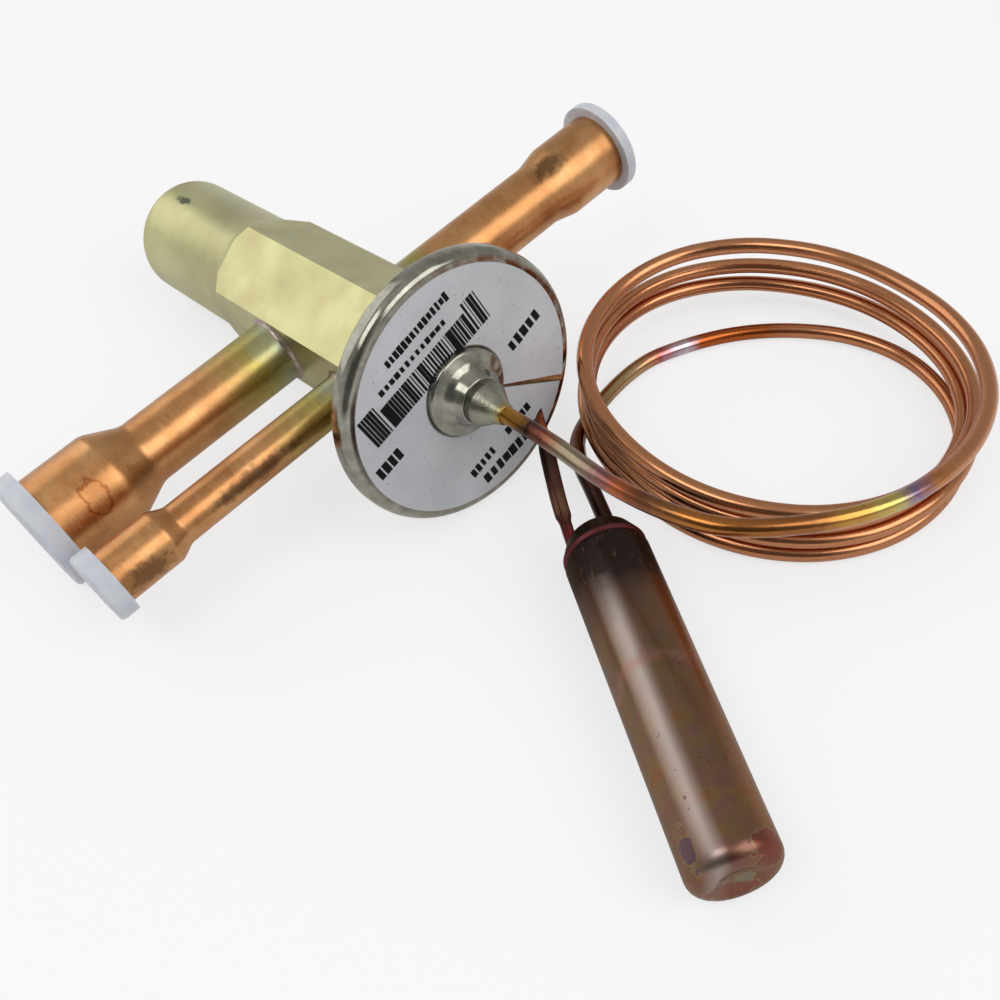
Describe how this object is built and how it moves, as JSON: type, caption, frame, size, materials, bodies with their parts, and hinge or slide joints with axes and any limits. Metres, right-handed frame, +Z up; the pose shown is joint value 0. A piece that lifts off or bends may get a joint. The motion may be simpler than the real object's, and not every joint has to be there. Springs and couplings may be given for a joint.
{
  "type": "thermostatic expansion valve",
  "caption": "Refrigeration expansion valve: hexagonal brass body, round steel head, three capped copper stubs, and a coiled capillary with its sensing bulb.",
  "frame": {"origin": "on the surface that the valve lies on, under the middle of the box round the valve without its capillary, coil and bulb", "axes": "+Z up; +X towards the inlet stub; +Y along the body towards its tail, level, the body itself sloping 8.1 degrees down towards the tail and rolled 6.6 degrees towards the outlet"},
  "size_m": [0.1502, 0.1813, 0.0477],
  "materials": {
    "body_brass": "bright turned and drawn bar",
    "head_steel": "polished pressing",
    "boss_steel": "dull turned steel",
    "label_foil": "satin foil",
    "inner_steel": "machined",
    "inner_brass": "machined",
    "spring_wire": "drawn wire",
    "seal_rubber": "moulded",
    "tube_copper": "copper, drawn and expanded",
    "braze_alloy": "silver braze fillet",
    "cap_plastic": "milky polyethylene",
    "gauze": "woven wire",
    "capillary_copper": "copper, heat tinted at its ends",
    "bulb_copper": "copper, darkened by heat"
  },
  "bodies": {
    "valve": {"valve_body": "body_brass", "head_cover": "head_steel", "head_base": "head_steel", "capillary_boss": "boss_steel", "head_label": "label_foil", "diaphragm": "inner_steel", "guide_bush": "inner_brass", "rod_o_ring": "seal_rubber", "orifice_seat": "inner_steel", "superheat_spring": "spring_wire", "setting_screw": "inner_brass", "tail_plug": "inner_brass", "inlet_strainer": "gauze", "outlet_tube": "tube_copper", "equaliser_tube": "tube_copper", "inlet_tube": "tube_copper", "outlet_braze": "braze_alloy", "equaliser_braze": "braze_alloy", "inlet_braze": "braze_alloy", "capillary_lead": "capillary_copper", "capillary_coil": "capillary_copper", "capillary_tail": "capillary_copper", "bulb_shell": "bulb_copper", "bulb_neck": "bulb_copper", "charge_tube": "capillary_copper"},
    "valve_stem": {"thrust_plate": "inner_steel", "push_rod": "inner_steel", "valve_cone": "inner_steel", "cone_carrier": "inner_brass"},
    "outlet_cap": {"outlet_cap": "cap_plastic"},
    "equaliser_cap": {"equaliser_cap": "cap_plastic"},
    "inlet_cap": {"inlet_cap": "cap_plastic"}
  },
  "joints": [
    {"name": "stem_travel", "type": "slide", "parent": "valve", "child": "valve_stem", "axis": [0, 0.9901, -0.1406], "range_m": [0, 0.0008], "stiffness_N_per_m": 4000, "springref_m": -0.001, "deforming": ["superheat_spring", "diaphragm"]},
    {"name": "outlet_cap_pull", "type": "slide", "parent": "valve", "child": "outlet_cap", "axis": [-0.9935, -0.016, -0.1129], "range_m": [0, 0.03]},
    {"name": "equaliser_cap_pull", "type": "slide", "parent": "valve", "child": "equaliser_cap", "axis": [-0.9935, -0.016, -0.1129], "range_m": [0, 0.03]},
    {"name": "inlet_cap_pull", "type": "slide", "parent": "valve", "child": "inlet_cap", "axis": [0.9935, 0.016, 0.1129], "range_m": [0, 0.03]}
  ]
}
